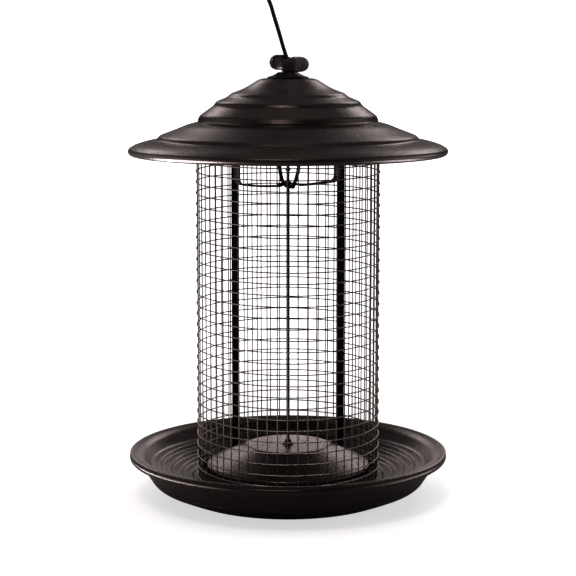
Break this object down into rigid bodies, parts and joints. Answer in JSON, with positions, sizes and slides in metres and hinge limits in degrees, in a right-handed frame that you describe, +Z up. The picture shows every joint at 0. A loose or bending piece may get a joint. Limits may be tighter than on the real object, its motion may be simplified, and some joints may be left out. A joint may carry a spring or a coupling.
{
  "type": "hanging mesh bird feeder",
  "caption": "Wire-mesh cylinder bird feeder with a stepped lift-up roof, a wing-nut rope clamp, a seed deflector and a ringed seed dish, hung on a wire rope",
  "frame": {"origin": "centre of the base pan's flat underside, on the surface the feeder stands on", "axes": "+Z up the tie rod, +X to the right seen from the front, +Y to the back, where the two flat uprights are"},
  "size_m": [0.2576, 0.2576, 0.4504],
  "materials": {
    "dark_coat": "satin near-black brown powder coat with a fine grain",
    "mesh_coat": "satin black coated welded wire",
    "rod_coat": "satin black",
    "black_plating": "black plated steel",
    "nut_coat": "gloss black coated pressed steel",
    "rope": "black twisted wire rope"
  },
  "bodies": {
    "feeder": {"base_pan": "dark_coat", "seed_dish": "dark_coat", "seed_deflector": "dark_coat", "tie_rod": "rod_coat", "bottom_washer": "black_plating", "bottom_nut": "black_plating", "dish_spacer": "black_plating", "deflector_spacer": "black_plating", "deflector_washer": "black_plating", "deflector_nut": "black_plating", "crossbar_collar": "black_plating", "rod_top_nut": "black_plating", "cage_mesh_1": "mesh_coat", "cage_mesh_2": "mesh_coat", "cage_mesh_3": "mesh_coat", "cage_mesh_4": "mesh_coat", "cage_mesh_5": "mesh_coat", "cage_mesh_6": "mesh_coat", "cage_mesh_7": "mesh_coat", "cage_mesh_8": "mesh_coat", "bottom_band": "mesh_coat", "top_band": "mesh_coat", "upright_left": "dark_coat", "upright_right": "dark_coat", "rivet_bottom_left": "black_plating", "rivet_bottom_right": "black_plating", "rivet_top_left": "black_plating", "rivet_top_right": "black_plating", "crossbar": "dark_coat", "rope_eye": "rope", "eye_ferrule": "black_plating", "inner_rope": "rope"},
    "roof_assembly": {"roof": "dark_coat", "clamp_stem": "black_plating", "clamp_cone": "dark_coat", "hanging_rope": "rope", "end_ferrule": "black_plating"},
    "wing_nut": {"wing_nut": "nut_coat"}
  },
  "joints": [
    {"name": "roof_slide", "type": "slide", "parent": "feeder", "child": "roof_assembly", "axis": [0, 0, 1], "range_m": [0, 0.06]},
    {"name": "wing_nut_spin", "type": "hinge", "parent": "roof_assembly", "child": "wing_nut", "pos_m": [0, 0, 0.3468], "axis": [0, 0, 1], "continuous": true}
  ]
}
